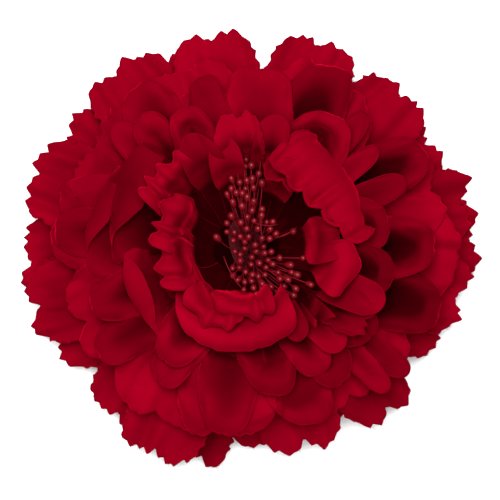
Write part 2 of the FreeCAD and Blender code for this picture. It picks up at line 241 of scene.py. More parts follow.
def petal_points(spec, root_z, draw):
    """The grid of one petal: its points in the frame, and the same points in the flat cut."""
    p = {**PETAL, **spec}
    tilt = p["tilt"] + draw.uniform(-7, 7)
    slant = p["slant"] + draw.uniform(-0.12, 0.12)
    half = p["width"] / 2
    line, run = curve_through([(r, root_z + z) for r, z in p["path"]])
    length = run[-1]
    v = np.linspace(-1, 1, PETAL_COLUMNS)[None, :]
    t = (np.linspace(0, 1, PETAL_ROWS) ** 0.8)[:, None]

    cut = tooth_line(draw, half * 2)
    part = (v + 1) / 2 * p["lobes"]
    scallop = 1 - np.sin(np.pi * (part - np.floor(np.clip(part, 0, p["lobes"] - 1e-6)))).clip(0, 1) ** 0.6
    rim = length - p["round"] * half * (1 - np.sqrt(1 - 0.97 * v * v)) - p["lobe_depth"] * scallop
    rim = rim + slant * half * v
    rim = rim - cut(v * half) * p["teeth"]
    s = t * rim
    share = s / length
    spread = ROOT_WIDTH / p["width"]
    spread = spread + (1 - spread) * smoothstep(0.0, p["widest"], share)
    spread = spread * (1 - 0.12 * smoothstep(p["widest"], 1.1, share))
    side_cut = tooth_line(draw, length)(s) * p["teeth"] * smoothstep(0.45, 0.7, share)
    w = half * spread - side_cut * np.abs(v) ** 8
    flat = np.stack([s + 0 * v, v * w], -1)

    angle = np.radians(p["cup"][0] + (p["cup"][1] - p["cup"][0]) * smoothstep(0.1, 0.95, share)) + 1e-4
    across = w * np.sin(angle * v) / angle
    rise = w * (1 - np.cos(angle * v)) / angle

    from_side = w * (1 - np.abs(v))
    from_tip = rim - s
    from_rim = -np.log(np.exp(-from_side / 2.0) + np.exp(-from_tip / 2.0)) * 2.0
    from_rim = np.maximum(from_rim, 0)

    phase = draw.uniform(0, 2 * math.pi)
    folds = 2 * np.pi * half * v / p["flute_pitch"]
    fold = np.sin(folds + phase) + 0.5 * np.sin(1.9 * folds + 2.1 * phase)
    rise = rise + p["flute"] * smoothstep(0.05, 0.75, share) * fold
    rise = rise + p["wobble"] * smoothstep(0.1, 0.5, share) * soft_dents(s, v * w, draw)
    wave_phase = draw.uniform(0, 2 * math.pi)
    waves = 2 * np.pi * half * v / p["ruffle_pitch"]
    waves = waves + 1.1 * np.sin(0.41 * waves + 3.0 * wave_phase)
    wave = np.sin(waves + wave_phase) + 0.4 * np.sin(1.7 * waves + 1.7 * wave_phase)
    rise = rise + p["ruffle"] * np.exp(-from_tip / p["ruffle_depth"]) * wave
    behind = p["lip_width"] / 2
    pressed = smoothstep(behind * 0.8, behind + p["bowl_width"], from_rim) * smoothstep(0.1, 0.55, share)
    rise = rise - p["bowl"] * pressed
    roll = (1 - np.clip(from_rim / behind, 0, 1)) ** 2
    rise = rise - p["lip"] * roll * (1 + p["lumps"] * wave)
    rise = rise + across * math.tan(math.radians(tilt)) * smoothstep(0.1, 0.6, share)
    across = across + p["sweep"] * smoothstep(0.0, 1.2, share)

    r, z = (np.interp(s, run, line[:, k]) for k in (0, 1))
    ahead = np.minimum(s + 0.5, length)
    back = ahead - 1.0
    slope_r, slope_z = (
        np.interp(ahead, run, line[:, k]) - np.interp(back, run, line[:, k]) for k in (0, 1)
    )
    size = np.hypot(slope_r, slope_z) + 1e-9
    r = r - slope_z / size * rise
    z = z + slope_r / size * rise
    if p["wrap"]:
        axis, radius = p["wrap"]
        bend = across / radius * smoothstep(0.0, 0.4, share)
        straight = across * (1 - smoothstep(0.0, 0.4, share))
        r, across = axis + (r - axis) * np.cos(bend), (r - axis) * np.sin(bend) + straight
    az = math.radians(p["az"])
    x = r * math.cos(az) - across * math.sin(az) + p["shift"][0] * share
    y = r * math.sin(az) + across * math.cos(az) + p["shift"][1] * share
    # Painted shade: the petal's colour is darkened away from its rim into the cup behind it, and strongly
    # towards the root, where the petals cover each other and the cavity lies in shade.
    deep = p["fade_depth"]
    dark = 0.5 * smoothstep(1.0, 8.0, from_rim) + 0.5 * smoothstep(deep * 0.3, deep, from_tip)
    light = (1 - p["fade"] * dark) * (0.2 + 0.8 * smoothstep(0.15, 0.5, share))
    return np.stack([x, y, z], -1), flat, share, light


def flat_area(flat):
    """The area of a petal's cut, from its grid in the flat."""
    a, b, c, d = flat[:-1, :-1], flat[1:, :-1], flat[1:, 1:], flat[:-1, 1:]
    first, second = c - a, d - b
    return float(np.abs(first[..., 0] * second[..., 1] - first[..., 1] * second[..., 0]).sum() / 2)


def flat_in_place(flat, az):
    """A petal's cut where it lies in the flat star, as a list of points in plan."""
    turn = math.radians(az)
    along, side = (PETAL_START + flat[..., 0]).ravel(), flat[..., 1].ravel()
    c, s = math.cos(turn), math.sin(turn)
    return np.stack([along * c - side * s, along * s + side * c], -1)


def root_height(name):
    """The middle of a layer's fabric at the peg: layers and spacers lie one on the other."""
    number = int(name.rsplit("_", 1)[1])
    below, above = node_box("spacer_1")
    pitch = node_box("spacer_2")[0][2] - below[2]
    first = below[2] - (pitch - (above[2] - below[2])) / 2
    return first + (number - 1) * pitch


def disc_points(z):
    turns = np.linspace(0, 2 * math.pi, DISC_SIDES, endpoint=False)
    return np.array([[r * math.cos(a), r * math.sin(a), z] for r in DISC_RADII for a in turns])


def petal_layer(name, specs, stack, material, seed):
    """One die-cut layer: a disc with its petals, laid over the layers before it."""
    root_z = root_height(name)
    draw, dyer = random.Random(seed), random.Random(seed + 100)
    points, faces = [disc_points(root_z)], [grid_faces(len(DISC_RADII), DISC_SIDES, closed=True)]
    # The disc under the petals gets the darkest painted shade.
    painted_shade_and_dye = [np.zeros(len(points[0]))]
    area = math.pi * (DISC_RADII[-1] ** 2 - DISC_RADII[0] ** 2)
    count = len(points[0])
    rims, cut = [], []
    for spec in specs:
        grid, flat, share, light = petal_points(spec, root_z, draw)
        if spec.get("rest", True):
            stack.lift_over(grid, smoothstep(0.2, 0.5, share))
        stack.add(grid)
        points.append(grid.reshape(-1, 3))
        if spec.get("teeth", 1) > 0.3:
            rims.append((grid[-1], grid[-3]))
        # Per point: the painted shade from petal_points, times the petal's tone (partly painted light and shade,
        # see LAYERS) and its random dye strength.
        painted_shade_and_dye.append(light.ravel() * {**PETAL, **spec}["tone"] * dyer.uniform(*DYE_SPREAD))
        faces.append(grid_faces(PETAL_ROWS, PETAL_COLUMNS, count))
        count += len(points[-1])
        area += flat_area(flat)
        cut.append(flat_in_place(flat, spec["az"]))
    made = mesh_object(name.replace("petal_layer", "petals"), np.concatenate(points), faces, material)
    fade = made.data.attributes.new("dye_and_painted_shade", "FLOAT", "POINT")
    fade.data.foreach_set("value", np.concatenate(painted_shade_and_dye).astype(np.float32))
    thick = made.modifiers.new("fabric", "SOLIDIFY")
    thick.thickness = FABRIC * MM
    thick.offset = 0
    thick.material_offset_rim = 1
    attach(made, BODY)
    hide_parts(name)
    return rims


def petal(az, reach, width, tip, arch=0.0, path=None, **more):
    """A petal's settings. Its middle line runs from the disc to the tip, which is tip over the root."""
    run = reach - PETAL_START
    if path is None:
        path = (
            (PETAL_START, 0.0),
            (PETAL_START + 0.35 * run, 0.35 * tip + arch),
            (PETAL_START + 0.75 * run, 0.9 * tip + arch),
            (reach, tip),
        )
    return dict(az=az, width=width, path=path, **more)


def outer(az, reach, width=30, tip=-9, **more):
    """Wide, nearly flat, with a pinked edge."""
    given = dict(arch=6, fade=0.35, tone=0.97, lobe_depth=3.6, flute=0.7, flute_pitch=12.0)
    return petal(az, reach, width, tip, **{**given, **more})


def spoon(az, reach, width=18, tip=9, **more):
    """Rises steeply behind a broad, nearly level, smoothly rolled rim."""
    path = ((PETAL_START, 0.0), (reach * 0.68, tip - 9.0), (reach * 0.9, tip), (reach, tip - 0.5))
    given = dict(
        path=path, cup=(22, 50), lobes=2, lobe_depth=0.5, teeth=0.1, flute=0.3, wobble=1.0, ruffle=0.45, lip=1.2,
        lip_width=5.0, bowl=3.0, bowl_width=7, round=1.0, widest=0.6, tilt=5,
    )
    return petal(az, reach, width, tip, **{**given, **more})


def blade(az, reach, width=13, tip=12, **more):
    """Long and narrow, folded up along its sides."""
    given = dict(
        arch=1.0, cup=(30, 62), lobes=1, lobe_depth=0, teeth=0.0, flute=0.2, wobble=0.4, ruffle=0.2, round=1.6,
        widest=0.5, lip=0.8, lip_width=4, tilt=10,
    )
    return petal(az, reach, width, tip, **{**given, **more})


def ridge(az, out, lean, width=24, height=12, **more):
    """A smooth wall with its rim rolled over in a broad band."""
    path = (
        (PETAL_START, 0.0),
        (out * 0.8, height - 14.0),
        (out, height * 0.5),
        (out - 0.3 * lean, height),
        (out - lean, height * 1.05),
    )
    given = dict(
        cup=(20, 34), lobes=1, lobe_depth=0, teeth=0, flute=0.1, wobble=0.6, ruffle=0.2, round=0.5, widest=0.6,
        lip=0.5, lip_width=5, tilt=0,
    )
    return petal(az, 0, width, 0, path=path, **{**given, **more})


def incurved(az, out, lean, width=26, height=20, **more):
    """Stands up at radius out and leans back in by lean, with a frilled rim at the cavity."""
    path = (
        (PETAL_START, 0.0),
        (out * 0.85, -1.0),
        (out, height * 0.4),
        (out - 0.3 * lean, height * 0.85),
        (out - lean, height * 1.05),
    )
    given = dict(
        cup=(30, 46), lobes=1, lobe_depth=0, teeth=0.4, flute=0.2, wobble=0.6, ruffle=1.0, ruffle_pitch=6.0,
        ruffle_depth=4.0, lip=2.4, lip_width=8, lumps=0.6, round=0.4, widest=0.6, tilt=3, rest=False, fade=0.5,
    )
    return petal(az, 0, width, 0, path=path, **{**given, **more})


def flared(az, out, reach, width=14, height=19, **more):
    """Stands up at radius out and turns outwards at the top."""
    path = (
        (PETAL_START, 0.0),
        (out * 0.8, 0.0),
        (out, height * 0.9),
        (reach, height),
    )
    given = dict(
        cup=(24, 34), lobes=1, lobe_depth=0.8, teeth=0.0, flute=0.2, wobble=0.4, ruffle=0.4, ruffle_pitch=7.0,
        ruffle_depth=5, round=0.8, widest=0.7, tilt=4, rest=False, fade_depth=11,
    )
    return petal(az, 0, width, 0, path=path, **{**given, **more})


def rolled(az, out, width=14, height=18, roll=5.0, **more):
    """Stands up at radius out with its rim rolled over outwards in thick uneven lumps."""
    path = (
        (PETAL_START, 0.0),
        (out * 0.8, 0.0),
        (out - 0.2 * roll, height * 0.85),
        (out + 0.2 * roll, height + 0.3 * roll),
        (out + 0.8 * roll, height + 0.3 * roll),
        (out + roll, height - 0.4 * roll),
    )
    given = dict(
        cup=(20, 24), lobes=2, lobe_depth=1.0, teeth=0.4, flute=0.1, wobble=0.3, ruffle=1.1, ruffle_pitch=6.0,
        ruffle_depth=6, round=0.4, widest=0.75, tilt=2, rest=False, fade_depth=16,
    )
    return petal(az, 0, width, 0, path=path, **{**given, **more})


def lumpy(az, out, width, height, roll):
    """A rolled rim scrunched into thick lumps, at the edge of the cavity."""
    return rolled(
        az, out, width, height, roll, cup=(12, 14), lobes=1, lobe_depth=0, teeth=0, ruffle=1.1, ruffle_pitch=5.2,
        ruffle_depth=9, fade_depth=12, tone=1.0,
    )


# The tone set on single petals paints light and shade. Tones of 1.0 to 1.2 on outer petals to the north and
# south-west, and on the rolled and flared pieces round the cavity, paint light. Tones of 0.72 on the spoons to
# the east paint shade. Each petal's fade sets how much painted shade it carries.
LAYERS = {
    "petal_layer_1": [
        outer(31, 56.5, 26), outer(70.5, 58, 24, tone=1.2), outer(113, 56.5, 24, tone=1.2),
        outer(149, 56.5, 26), outer(183, 59, 26), outer(206, 56, 22, fade=0.15, tone=1.2),
        outer(231, 56.5, 24, fade=0.15, tone=1.2), outer(255, 57.5, 20, tilt=-4, fade=0.15),
        outer(298, 52, 24, fade=0.2), outer(338, 54.5, 22), outer(3, 60, 26),
        outer(276, 52, 22, fade=0.15),
    ],
    "petal_layer_2": [
        outer(12, 59, 22, -5), outer(45, 58, 24, -5, tone=1.2), outer(100, 57, 24, -4, tone=1.2),
        outer(127, 58.5, 24, -5, tone=1.2), outer(160, 59.5, 25, -5), outer(195, 58.5, 24, -5),
        outer(245, 59, 24, -5, tilt=-5, fade=0.15, tone=1.2), outer(286, 54, 24, -4, fade=0.15),
        outer(311, 56.5, 20, -5), outer(347, 57.5, 24, -5),
    ],
    "petal_layer_3": [
        outer(358, 53, 30, 2, lobes=1, teeth=0.3, wobble=1.6),
        outer(62, 50, 28, 3, teeth=0.3, wobble=1.6, tone=1.2), outer(18, 51, 24, 3, teeth=0.4),
        outer(111, 50, 26, 3, teeth=0.3, wobble=1.6, tone=1.2), outer(146, 50, 30, 2, wobble=1.6),
        outer(170, 50, 26, 2, teeth=0.3, wobble=1.4),
        outer(204, 48, 28, 2, teeth=0.4, wobble=1.4, fade=0.2),
        outer(240, 49, 30, 2, teeth=0.3, wobble=1.8, fade=0.2, tone=1.2),
        outer(262, 48, 26, 3, teeth=0.3, wobble=1.6, fade=0.2),
        outer(305, 48, 28, 1, teeth=0.4, wobble=1.6), outer(333, 48.5, 26, -1, teeth=0.4, wobble=1.6),
    ],
    "petal_layer_4": [
        spoon(30, 51, 17, 9, bowl=5, tone=0.72), spoon(114, 42, 13, 9),
        spoon(125, 50, 18, 8, tilt=-8, fade=0.6), spoon(174, 49, 15, 7, fade=0.8),
        spoon(215, 46, 14, 9, tilt=14, fade=0.6), spoon(262, 47, 17, 6, round=1.2, fade=0.5, bowl=1.5),
        spoon(290, 47, 19, 7, slant=0.2, fade=0.5, bowl=1.5), spoon(342, 51, 19, 7, bowl=5, tone=0.72),
        blade(322, 51, 9, 6), blade(315, 50, 8, 7), spoon(66, 51, 20, 8, fade=0.8, slant=-0.3),
        blade(137, 46, 11, 8),
    ],
    "petal_layer_5": [
        spoon(1, 47, 18, 11, bowl=6, fade=1.1, tone=0.72), blade(49, 45, 8, 12, tilt=18),
        blade(38, 41, 7, 13, tilt=18), spoon(86, 46, 20, 9, fade=0.4, bowl=0.5, lip=0.6, round=0.5),
        ridge(168, 41, 6, 30, 13, slant=-0.4, fade=0.5),
        spoon(236, 40, 13, 10, tilt=16, slant=0.25, fade=0.7),
        spoon(306, 41, 14, 10, tilt=-10, fade=0.7), blade(24, 43, 9, 12),
        spoon(200, 42, 14, 9, fade=0.8), spoon(129, 43, 12, 12, tilt=-14),
        spoon(105, 45, 11, 12, bowl=1.0, fade=0.3),
    ],
    "petal_layer_6": [
        spoon(58, 40, 20, 15, slant=-0.25, bowl=5), spoon(115, 39, 13, 15, tilt=-14, bowl=5),
        ridge(158, 37, 9, 32, 16, slant=-0.4, fade=0.4), ridge(203, 32, 6, 24, 13, fade=0.4),
        spoon(233, 35, 14, 9, fade=0.8), spoon(280, 37, 16, 9, fade=0.5, slant=0.2, bowl=1.5),
        spoon(325, 38, 15, 12, tone=0.72), spoon(12, 36, 18, 13, bowl=5, tone=0.72),
        spoon(350, 37, 16, 11, bowl=5, tone=0.72), spoon(301, 36, 12, 11, tilt=12),
    ],
    "petal_layer_7": [
        flared(95, 26, 35, 14, lobes=2, teeth=0.8, lobe_depth=2.5, fade=0.7, tone=1.1),
        flared(78, 25, 34, 9), flared(64, 19, 25, 8),
        incurved(
            38, 32, 15, 33, 21, cup=(14, 22), round=0.12, widest=0.8, lobes=5, lobe_depth=2.0,
            ruffle=2.2, ruffle_pitch=6.6, ruffle_depth=5.5, lip=3.0, teeth=0.1, slant=0.1, fade=0.1,
            tone=1.0,
        ),
        incurved(64, 25, 9, 14, 19, lobes=2, lobe_depth=2, ruffle=1.4, fade=0.3),
        flared(329, 27, 36, 13, 17, lobes=2, teeth=0.8, lobe_depth=2), flared(302, 20, 26, 7, 16),
        flared(314, 25, 34, 9, 14), flared(338, 26, 36, 10, 18, tilt=-14, fade=0.3),
        rolled(
            268, 19, 46, 17, 6.0, cup=(4, 4), wrap=(3.0, 20.0), round=0.55, lobes=1, lobe_depth=0,
            teeth=0, ruffle=0.15, flute=0, shift=(-4.0, 0.0), fade=0.0, widest=0.5, tone=1.1,
        ),
        lumpy(184, 17, 18, 18, 4.5), lumpy(160, 18.5, 15, 19, 4.5), lumpy(139, 25, 16, 19, 4.5),
    ],
    "petal_layer_8": [
        flared(117, 24, 32, 11, 18, round=1.2, fade=0.5),
        flared(104, 21, 29, 9, 16, round=1.2, fade=0.5),
        rolled(
            349, 21, 12, 19, 6, cup=(4, 4), wrap=(12.0, 9.0), round=1.0, lobes=1, teeth=0, ruffle=0.6,
            fade=0.3, tone=1.1,
        ),
        rolled(8, 18, 12, 18, round=1.0, lobes=1, teeth=0, ruffle=0.5, fade=0.7),
        incurved(222, 15, 2, 18, 12, lip=0, lumps=0, teeth=0, ruffle=0.1),
        rolled(
            266, 13, 16, 18, 4.0, cup=(4, 4), wrap=(3.0, 10.0), round=0.8, lobes=1, lobe_depth=0,
            teeth=0, ruffle=0.8, ruffle_depth=9, fade=0.1, tone=1.1,
        ),
        rolled(
            238, 17, 16, 18, 4.0, cup=(4, 4), wrap=(7.0, 10.0), round=0.8, lobes=1, lobe_depth=0,
            teeth=0, ruffle=0.8, ruffle_depth=9, fade=0.1, tone=1.1,
        ),
    ],
}


# ---- materials ----
def new_material(name):
    made = bpy.data.materials.new(name)
    made.use_nodes = True
    tree = made.node_tree
    return made, tree, tree.nodes["Principled BSDF"]


def node(tree, kind, **inputs):
    made = tree.nodes.new(kind)
    for key, value in inputs.items():
        made.inputs[key.replace("_", " ")].default_value = value
    return made


def noise(tree, scale, detail=3.0, roughness=0.55):
    coordinates = tree.nodes.new("ShaderNodeTexCoord")
    made = node(tree, "ShaderNodeTexNoise", Scale=scale, Detail=detail, Roughness=roughness)
    tree.links.new(coordinates.outputs["Object"], made.inputs["Vector"])
    return made


def colour_ramp(tree, source, stops):
    ramp = tree.nodes.new("ShaderNodeValToRGB")
    elements = ramp.color_ramp.elements
    while len(elements) < len(stops):
        elements.new(0.5)
    for element, (at, colour) in zip(elements, stops):
        element.position = at
        element.color = (*colour, 1.0)
    tree.links.new(source, ramp.inputs["Fac"])
    return ramp


def bump(tree, bsdf, height, distance, strength, below=None):
    made = node(tree, "ShaderNodeBump", Distance=distance, Strength=strength)
    tree.links.new(height, made.inputs["Height"])
    if below is not None:
        tree.links.new(below.outputs["Normal"], made.inputs["Normal"])
    tree.links.new(made.outputs["Normal"], bsdf.inputs["Normal"])
    return made


def velvet():
    """Matte pile with a sheen at grazing angles; its colour carries painted shade, darker towards the root of
    each petal and away from its rim.
    """
    made, tree, bsdf = new_material("crimson_velvet")
    patches = noise(tree, 45.0, 4.0)
    shades = [(0.3, (0.115, 0.0, 0.0042)), (0.7, (0.165, 0.0, 0.0062))]
    dye = colour_ramp(tree, patches.outputs["Fac"], shades)
    # Painted shade: the petal attribute read here darkens the dyed colour through the ramp below.
    along = tree.nodes.new("ShaderNodeAttribute")
    along.attribute_name = "dye_and_painted_shade"
    dye_and_painted_shade_curve = [(0.0, 0.035), (0.35, 0.17), (0.75, 0.62), (1.0, 1.0)]  # painted shade and dye strength, against how much of the colour is kept
    depth = colour_ramp(tree, along.outputs["Fac"], [(at, (grey, grey, grey)) for at, grey in dye_and_painted_shade_curve])
    shade = tree.nodes.new("ShaderNodeMix")
    shade.data_type = "RGBA"
    shade.blend_type = "MULTIPLY"
    shade.inputs["Factor"].default_value = 1.0
    tree.links.new(dye.outputs["Color"], shade.inputs["A"])
    tree.links.new(depth.outputs["Color"], shade.inputs["B"])
    tree.links.new(shade.outputs["Result"], bsdf.inputs["Base Color"])
    nap = noise(tree, 2600.0, 2.0)
    coarse = noise(tree, 500.0, 3.0)
    first = bump(tree, bsdf, coarse.outputs["Fac"], 0.0003, 0.35)
    bump(tree, bsdf, nap.outputs["Fac"], 0.00012, 0.6, first)
    bsdf.inputs["Roughness"].default_value = 0.95
    bsdf.inputs["Specular IOR Level"].default_value = 0.0
    bsdf.inputs["Sheen Weight"].default_value = 0.32
    bsdf.inputs["Sheen Roughness"].default_value = 0.35
    bsdf.inputs["Sheen Tint"].default_value = (1.0, 0.0, 0.035, 1.0)
    return made


def mottled(name, dark, light, scale, roughness, metallic=0.0, specular=0.5, grain=(400.0, 0.0001, 0.3)):
    """A shader whose colour wanders between two shades, with uneven roughness and a fine grain."""
    made, tree, bsdf = new_material(name)
    patches = noise(tree, scale, 4.0)
    colour = colour_ramp(tree, patches.outputs["Fac"], [(0.3, dark), (0.7, light)])
    tree.links.new(colour.outputs["Color"], bsdf.inputs["Base Color"])
    wear = node(tree, "ShaderNodeMapRange", To_Min=roughness[0], To_Max=roughness[1])
    smears = noise(tree, scale * 3.0, 5.0)
    tree.links.new(smears.outputs["Fac"], wear.inputs["Value"])
    tree.links.new(wear.outputs["Result"], bsdf.inputs["Roughness"])
    pitch, distance, strength = grain
    bump(tree, bsdf, noise(tree, pitch, 4.0).outputs["Fac"], distance, strength)
    bsdf.inputs["Metallic"].default_value = metallic
    bsdf.inputs["Specular IOR Level"].default_value = specular
    return made


def cut_edge():
    """The bare weave that shows where the fabric is cut: no pile and no shine."""
    return mottled("cut_edge", (0.09, 0.0, 0.0035), (0.13, 0.0, 0.005), 300.0, (0.95, 1.0), specular=0.0)


def felt():
    """Pressed wool: matte, with matted clumps and a soft sheen."""
    made = mottled(
        "felt", (0.035, 0.001, 0.003), (0.075, 0.002, 0.006), 260.0, (0.9, 1.0), specular=0.1,
        grain=(900.0, 0.0004, 0.8),
    )
    bsdf = made.node_tree.nodes["Principled BSDF"]
    bsdf.inputs["Sheen Weight"].default_value = 0.35
    bsdf.inputs["Sheen Roughness"].default_value = 0.5
    bsdf.inputs["Sheen Tint"].default_value = (1.0, 0.25, 0.3, 1.0)
    return made


def steel(name, dark, light, scale=180.0):
    """Nickel-plated sheet or wire: bright, with smears and fine scratches."""
    return mottled(name, dark, light, scale, (0.18, 0.42), metallic=1.0, grain=(1500.0, 0.00004, 0.35))


def hot_glue():
    grain = (200.0, 0.0003, 0.4)
    made = mottled("hot_glue", (0.62, 0.5, 0.42), (0.78, 0.66, 0.56), 150.0, (0.15, 0.35), grain=grain)
    bsdf = made.node_tree.nodes["Principled BSDF"]
    bsdf.inputs["Subsurface Weight"].default_value = 0.4
    bsdf.inputs["Subsurface Radius"].default_value = (0.002, 0.0012, 0.0008)
    return made


def plastic():
    """The moulded parts in the flower's core: matt and dark."""
    dark, light = (0.025, 0.0, 0.0015), (0.04, 0.0005, 0.002)
    return mottled("red_plastic", dark, light, 120.0, (0.7, 0.85), specular=0.08)


def thread_dye():
    return mottled(
        "stamen_thread", (0.07, 0.001, 0.003), (0.12, 0.001, 0.005), 600.0, (0.6, 0.8), specular=0.08,
        grain=(2500.0, 0.0001, 0.5),
    )


def bead_lacquer():
    dark, light = (0.07, 0.001, 0.003), (0.12, 0.001, 0.005)
    return mottled("bead_lacquer", dark, light, 900.0, (0.3, 0.45), specular=0.16)


# ---- stamens ----
STAMENS = 94
BEAD_RADIUS = 0.86
THREAD_RADIUS = 0.15
# Beads that lean out of the cluster on their own, in plan.
OUTLIERS = [(-7.8, 3.2), (11.2, 4.6), (15.6, -8.6), (3.2, 24.6), (-0.6, 24.0), (13.6, -2.0)]
# Threads that lost their beads and cross over the others: from, to, in plan.
STRAYS = [
    ((3.4, 9.5), (3.6, 1.2)),
    ((1.6, 6.6), (7.4, 6.4)),
    ((-6.0, -1.5), (-1.5, -9.5)),
    ((6.5, 3.0), (12.0, 5.6)),
]
# The ovals that the other beads fill, in plan: centre, half length, half width, turn in degrees.
CLUSTERS = [((-1.0, 15.5), 8.5, 4.6, 90.0), ((0.8, 4.5), 8.5, 6.3, 90.0), ((4.5, -6.6), 9.0, 5.6, -15.0)]


def inside_cluster(place):
    for centre, half_long, half_wide, turn in CLUSTERS:
        c, s = math.cos(math.radians(turn)), math.sin(math.radians(turn))
        dx, dy = place[0] - centre[0], place[1] - centre[1]
        if math.hypot((dx * c + dy * s) / half_long, (dy * c - dx * s) / half_wide) < 1:
            return True
    return False


def stamen_places(draw):
    """Bead places scattered over the cluster, no two nearer than a bead's width."""
    places = list(OUTLIERS)
    while len(places) < STAMENS:
        place = (draw.uniform(-8, 18), draw.uniform(-16, 24))
        near = BEAD_RADIUS * 1.7
        if inside_cluster(place) and all(math.dist(place, other) > near for other in places):
            places.append(place)
    return places


def lathe(path, radii, sides):
    """Rings of points round a path of points, one radius each."""
    path = np.array(path)
    ahead = np.gradient(path, axis=0)
    ahead /= np.linalg.norm(ahead, axis=1)[:, None]
    side = np.cross(ahead, [0.31, 0.95, 0.05])
    side /= np.linalg.norm(side, axis=1)[:, None]
    other = np.cross(ahead, side)
    turns = np.linspace(0, 2 * math.pi, sides, endpoint=False)
    rings = side[:, None] * np.cos(turns)[None, :, None] + other[:, None] * np.sin(turns)[None, :, None]
    return (path[:, None] + rings * np.array(radii)[:, None, None]).reshape(-1, 3)


def thread_path(root, tip, draw, count=14):
    """A thread that leaves the holder upright and bows over to its bead."""
    root, tip = np.array(root), np.array(tip)
    bow = np.array([draw.uniform(-1.6, 1.6), draw.uniform(-1.6, 1.6), 0])
    towards_tip = np.array([0.3, 0.3, 0.75])
    middle = root * (1 - towards_tip) + tip * towards_tip + bow
    t = np.linspace(0, 1, count)[:, None]
    return root * (1 - t) ** 2 + 2 * middle * t * (1 - t) + tip * t * t


# A bead from its thread to its end, in bead radii: how far along, and how wide there.
BEAD_PROFILE = [
    (-1.25, 0.1), (-1.0, 0.45), (-0.6, 0.8), (-0.1, 1.0), (0.4, 0.93), (0.8, 0.62), (1.0, 0.25), (1.04, 0.02),
]
BEAD_SIDES = 12
THREAD_SIDES = 6
DRAWN_OUT = (1.0, 1.25, 1.8)  # some beads run down their thread like a drop


def make_stamens(thread_material, bead_material):
    draw = random.Random(5)
    low, high = node_box("stamen_holder")
    centre, top = (low + high) / 2, high[2]
    bead_low, bead_high = node_box("stamen_beads")
    middle_height = (bead_low[2] + bead_high[2]) / 2 + 1.0
    threads, thread_faces, beads, bead_faces = [], [], [], []
    for place in stamen_places(draw):
        height = middle_height + draw.uniform(-2.8, 2.4) - 0.012 * (place[0] ** 2 + (place[1] - 3) ** 2)
        root = (centre[0] + place[0] * 0.28, centre[1] + (place[1] - 3) * 0.34, top - 0.4)
        path = thread_path(root, (*place, height), draw)
        start = sum(len(p) for p in threads)
        threads.append(lathe(path, np.full(len(path), THREAD_RADIUS), THREAD_SIDES))
        thread_faces += tube_faces(len(path), THREAD_SIDES, start)
        size = BEAD_RADIUS * draw.uniform(0.85, 1.12)
        ahead = path[-1] - path[-3]
        ahead /= np.linalg.norm(ahead)
        drawn_out = draw.choice(DRAWN_OUT)
        line = [path[-1] + ahead * size * (at if at > 0 else at * drawn_out) for at, _ in BEAD_PROFILE]
        start = sum(len(p) for p in beads)
        beads.append(lathe(line, [size * r for _, r in BEAD_PROFILE], BEAD_SIDES))
        bead_faces += tube_faces(len(BEAD_PROFILE), BEAD_SIDES, start)
    for (from_x, from_y), (to_x, to_y) in STRAYS:
        share = np.linspace(0, 1, 9)[:, None]
        bend = np.array([draw.uniform(-0.6, 0.6), draw.uniform(-0.6, 0.6), 1.5])
        start = np.array([from_x, from_y, middle_height + 1.0])
        end = np.array([to_x, to_y, middle_height + 0.6])
        path = start * (1 - share) + end * share + bend * (share * (1 - share)) * 4
        thread_faces += tube_faces(len(path), THREAD_SIDES, sum(len(p) for p in threads))
        threads.append(lathe(path, np.full(len(path), THREAD_RADIUS), THREAD_SIDES))
    for name, points, faces, material, slot, replaced in (
        ("threads", threads, thread_faces, thread_material, "stamen_thread", "stamen_threads"),
        ("bead_tips", beads, bead_faces, bead_material, "stamen_bead", "stamen_beads"),
    ):
        made = mesh_object(name, np.concatenate(points), faces, material)
        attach(made, BODY)
        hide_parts(replaced)


# ---- the back: felt, glue and the spring ----
def thickened(made, thickness):
    thick = made.modifiers.new("thickness", "SOLIDIFY")
    thick.thickness = thickness * MM
    thick.offset = 0


def uneven(draw, count, size):
    """A closed run of values that wander smoothly between about -size and size."""
    turns = np.linspace(0, 2 * math.pi, count, endpoint=False)
    values = np.zeros(count)
    for wave in range(2, 9):
        values += draw.uniform(0.2, 1.0) / wave * np.sin(wave * turns + draw.uniform(0, 2 * math.pi))
    return values * size


def make_felt_disc(material):
    """The round backing, cut by hand: its edge wanders a little and its face is slightly quilted."""
    draw = random.Random(21)
    low, high = node_box("felt_backing")
    thickness = high[2] - low[2]
    radius = high[0] - 0.4
    sides, rings = 160, 40
    edge = radius + uneven(draw, sides, 0.35)
    turns = np.linspace(0, 2 * math.pi, sides, endpoint=False)
    points = []
    for share in np.linspace(0.02, 1, rings):
        reach = edge * share
        x, y = reach * np.cos(turns), reach * np.sin(turns)
        z = (low[2] + high[2]) / 2 + 0.06 * np.sin(x * 0.9 + 1.3) * np.sin(y * 0.8) - 0.12 * share ** 6
        points.append(np.stack([x, y, z], -1))
    faces = [grid_faces(rings, sides, closed=True), np.arange(sides)[None, ::-1]]
    made = mesh_object("felt_disc", np.concatenate(points), faces, material)
    thickened(made, thickness - 0.2)
    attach(made, BODY)
    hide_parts("felt_backing")


